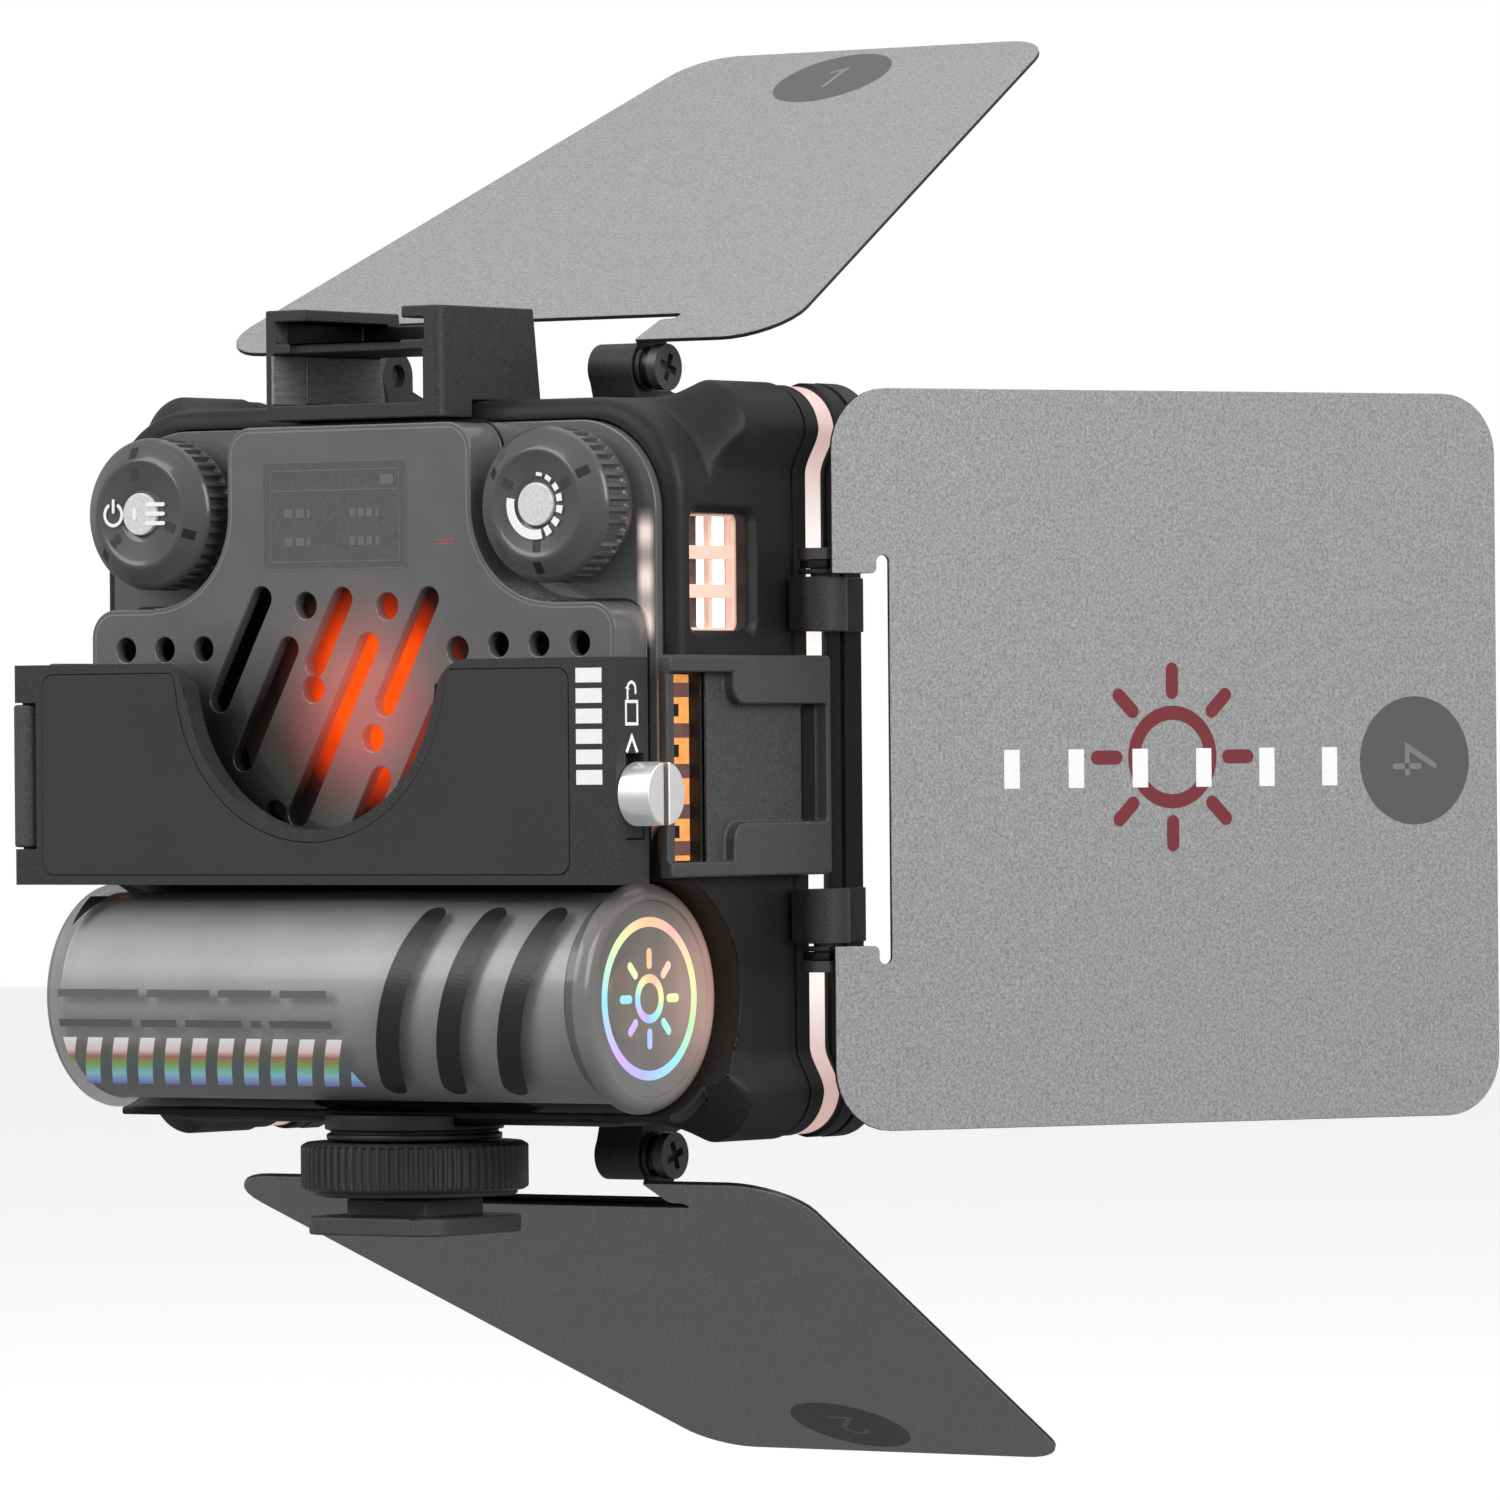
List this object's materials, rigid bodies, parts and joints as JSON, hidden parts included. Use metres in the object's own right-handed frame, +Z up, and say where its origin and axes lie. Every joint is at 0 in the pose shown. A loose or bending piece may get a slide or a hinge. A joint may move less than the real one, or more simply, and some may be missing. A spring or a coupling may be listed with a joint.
{
  "type": "barn door attachment on a pocket video light",
  "caption": "Square pocket LED light with hinged sheet-metal barn door leaves on a clip-on frame, push-turn knobs, clear battery tube, back clamp, top shoe and shoe foot.",
  "frame": {"origin": "middle of the underside of the shoe foot", "axes": "+Z up out of the foot, +Y the way the light shines, +X to the right seen from behind the light"},
  "size_m": [0.1624, 0.1073, 0.1581],
  "materials": {
    "housing_plastic": "fine matte grain",
    "bezel_plastic": "satin",
    "smoke_cover": "translucent smoke, glossy",
    "diffuser_glow": "opal, lit from inside",
    "white_box": "white reflector",
    "board_white": "solder mask",
    "board_green": "solder mask",
    "led_warm": "phosphor",
    "led_cool": "phosphor",
    "heat_sink_orange": "anodised orange",
    "fan_black": "satin",
    "display_glass": "glossy",
    "steel": "fine turned",
    "bright_steel": "turned and polished",
    "grille_glow": "opal, lit from inside",
    "knob_smoke": "translucent smoke, satin face",
    "knob_disc": "bead blasted",
    "tube_clear": "clear smoke, glossy",
    "sleeve_grey": "satin grey film",
    "cell_wrap": "shrink wrap",
    "cap_clear": "clear smoke, glossy",
    "gold": "plated",
    "brass": "turned",
    "black_metal": "fine black powder coat",
    "pad_rubber": "matte rubber",
    "leaf_sheet": "grey bead-blasted anodising",
    "black_screw": "black oxide"
  },
  "bodies": {
    "light": {"rear_housing": "housing_plastic", "rear_cover": "smoke_cover", "front_bezel": "bezel_plastic", "diffuser": "diffuser_glow", "light_box": "white_box", "led_board": "board_white", "warm_leds": "led_warm", "cool_leds": "led_cool", "heat_sink": "heat_sink_orange", "fan_frame": "fan_black", "control_board": "board_green", "display": "display_glass", "encoders": "steel", "side_light_grille": "grille_glow", "usb_port": "steel", "battery_tube": "tube_clear", "battery_sleeve": "sleeve_grey", "battery_cell": "cell_wrap", "tube_cap": "cap_clear", "tube_contact": "gold", "left_clip": "black_metal", "right_clip": "black_metal", "top_shoe": "black_metal", "shoe_screw": "black_screw", "base_boss": "black_metal", "thread_insert": "brass", "shoe_foot": "black_metal"},
    "door_frame": {"door_frame": "black_metal", "hinge_screws": "black_screw", "hinge_washers": "black_screw"},
    "right_leaf": {"right_leaf": "leaf_sheet"},
    "left_leaf": {"left_leaf": "leaf_sheet"},
    "top_leaf": {"top_leaf": "leaf_sheet"},
    "bottom_leaf": {"bottom_leaf": "leaf_sheet"},
    "left_plunger": {"left_plunger": "steel"},
    "right_plunger": {"right_plunger": "steel"},
    "left_knob": {"left_knob": "knob_smoke", "left_knob_disc": "knob_disc"},
    "right_knob": {"right_knob": "knob_smoke", "right_knob_disc": "knob_disc"},
    "fan_rotor": {"fan_rotor": "fan_black"},
    "clamp_plate": {"clamp_plate": "black_metal", "clamp_pad": "pad_rubber", "clamp_pin": "black_screw"},
    "lock_slider": {"lock_slider": "black_metal"},
    "lock_screw": {"lock_screw": "bright_steel"},
    "adapter_wheel": {"adapter_wheel": "black_metal"}
  },
  "joints": [
    {"name": "door_frame_pull", "type": "slide", "parent": "light", "child": "door_frame", "axis": [0, 1, 0], "range_m": [0, 0.02]},
    {"name": "right_leaf_hinge", "type": "hinge", "parent": "door_frame", "child": "right_leaf", "pos_m": [0.0417, 0.0163, 0.0496], "axis": [0, 0, 1], "range_deg": [-58.5, 41.5]},
    {"name": "left_leaf_hinge", "type": "hinge", "parent": "door_frame", "child": "left_leaf", "pos_m": [-0.0417, 0.0163, 0.0496], "axis": [0, 0, -1], "range_deg": [-58.5, 41.5]},
    {"name": "top_leaf_hinge", "type": "hinge", "parent": "door_frame", "child": "top_leaf", "pos_m": [0, 0.0163, 0.0913], "axis": [-1, 0, 0], "range_deg": [-59.5, 45.5]},
    {"name": "bottom_leaf_hinge", "type": "hinge", "parent": "door_frame", "child": "bottom_leaf", "pos_m": [0, 0.0163, 0.0079], "axis": [1, 0, 0], "range_deg": [-61, 44]},
    {"name": "left_knob_press", "type": "slide", "parent": "light", "child": "left_plunger", "axis": [0, 1, 0], "range_m": [0, 0.0006], "stiffness_N_per_m": 3000, "springref_m": -0.0003},
    {"name": "left_knob_turn", "type": "hinge", "parent": "left_plunger", "child": "left_knob", "pos_m": [-0.026, -0.0087, 0.0763], "axis": [0, -1, 0], "continuous": true},
    {"name": "right_knob_press", "type": "slide", "parent": "light", "child": "right_plunger", "axis": [0, 1, 0], "range_m": [0, 0.0006], "stiffness_N_per_m": 3000, "springref_m": -0.0003},
    {"name": "right_knob_turn", "type": "hinge", "parent": "right_plunger", "child": "right_knob", "pos_m": [0.026, -0.0087, 0.0763], "axis": [0, -1, 0], "continuous": true},
    {"name": "fan_spin", "type": "hinge", "parent": "light", "child": "fan_rotor", "pos_m": [0, -0.0057, 0.0556], "axis": [0, 1, 0], "continuous": true},
    {"name": "clamp_plate_hinge", "type": "hinge", "parent": "light", "child": "clamp_plate", "pos_m": [-0.0403, -0.0142, 0.0496], "axis": [0, 0, -1], "range_deg": [0, 110]},
    {"name": "lock_slide", "type": "slide", "parent": "clamp_plate", "child": "lock_slider", "axis": [0, 0, 1], "range_m": [0, 0.002]},
    {"name": "lock_screw_turn", "type": "hinge", "parent": "lock_slider", "child": "lock_screw", "pos_m": [0.04, -0.0125, 0.0463], "axis": [1, 0, 0], "continuous": true},
    {"name": "wheel_turn", "type": "hinge", "parent": "light", "child": "adapter_wheel", "pos_m": [0, 0, 0.0071], "axis": [0, 0, 1], "continuous": true}
  ]
}
